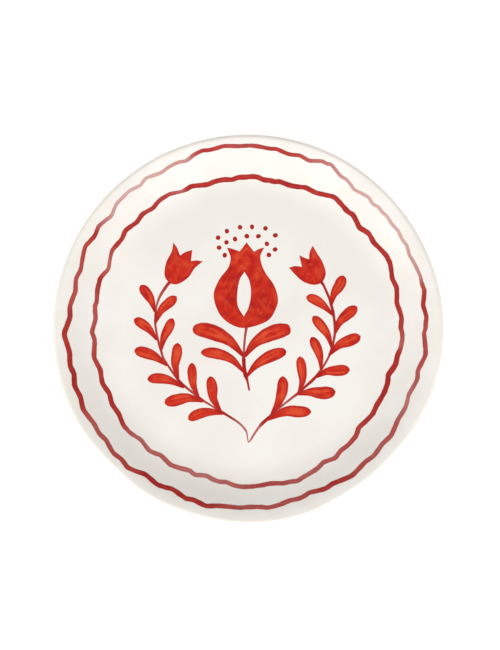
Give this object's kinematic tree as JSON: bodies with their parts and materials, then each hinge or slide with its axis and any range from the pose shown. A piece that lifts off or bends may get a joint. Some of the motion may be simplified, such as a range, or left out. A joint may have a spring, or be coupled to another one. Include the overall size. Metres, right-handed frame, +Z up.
{
  "type": "hand painted ceramic dinner plate",
  "caption": "Round coupe dinner plate with a turned foot ring, white glaze and red brush painting of a pomegranate, tulips and leafy branches inside wavy border lines.",
  "frame": {"origin": "on the plate's axis, level with the bare foot ring that it stands on", "axes": "+Z up along the plate's axis, +Y towards the top of the painting (the fruit's crown), +X to its right"},
  "size_m": [0.27, 0.27, 0.0262],
  "materials": {
    "bare_clay": "matte",
    "white_glaze": "gloss",
    "red_paint": "gloss"
  },
  "bodies": {
    "root": {"clay_body": "bare_clay", "foot_recess_glaze": "white_glaze", "glaze_coat": "white_glaze", "inner_wavy_line": "red_paint", "left_branch": "red_paint", "left_inner_leaf_1": "red_paint", "left_inner_leaf_2": "red_paint", "left_inner_leaf_3": "red_paint", "left_inner_leaf_4": "red_paint", "left_inner_leaf_5": "red_paint", "left_outer_leaf_1": "red_paint", "left_outer_leaf_2": "red_paint", "left_outer_leaf_3": "red_paint", "left_outer_leaf_4": "red_paint", "left_outer_leaf_5": "red_paint", "left_outer_leaf_6": "red_paint", "left_tulip": "red_paint", "outer_wavy_line": "red_paint", "pomegranate_fruit": "red_paint", "pomegranate_stem": "red_paint", "right_branch": "red_paint", "right_inner_leaf_1": "red_paint", "right_inner_leaf_2": "red_paint", "right_inner_leaf_3": "red_paint", "right_inner_leaf_4": "red_paint", "right_inner_leaf_5": "red_paint", "right_outer_leaf_1": "red_paint", "right_outer_leaf_2": "red_paint", "right_outer_leaf_3": "red_paint", "right_outer_leaf_4": "red_paint", "right_outer_leaf_5": "red_paint", "right_outer_leaf_6": "red_paint", "right_tulip": "red_paint", "stamen_dot_01": "red_paint", "stamen_dot_02": "red_paint", "stamen_dot_03": "red_paint", "stamen_dot_04": "red_paint", "stamen_dot_05": "red_paint", "stamen_dot_06": "red_paint", "stamen_dot_07": "red_paint", "stamen_dot_08": "red_paint", "stamen_dot_09": "red_paint", "stamen_dot_10": "red_paint", "stamen_dot_11": "red_paint", "stamen_dot_12": "red_paint", "stamen_dot_13": "red_paint", "stamen_dot_14": "red_paint", "stamen_dot_15": "red_paint", "stem_leaf_lower_left": "red_paint", "stem_leaf_lower_right": "red_paint", "stem_leaf_upper_left": "red_paint", "stem_leaf_upper_right": "red_paint"}
  },
  "joints": []
}
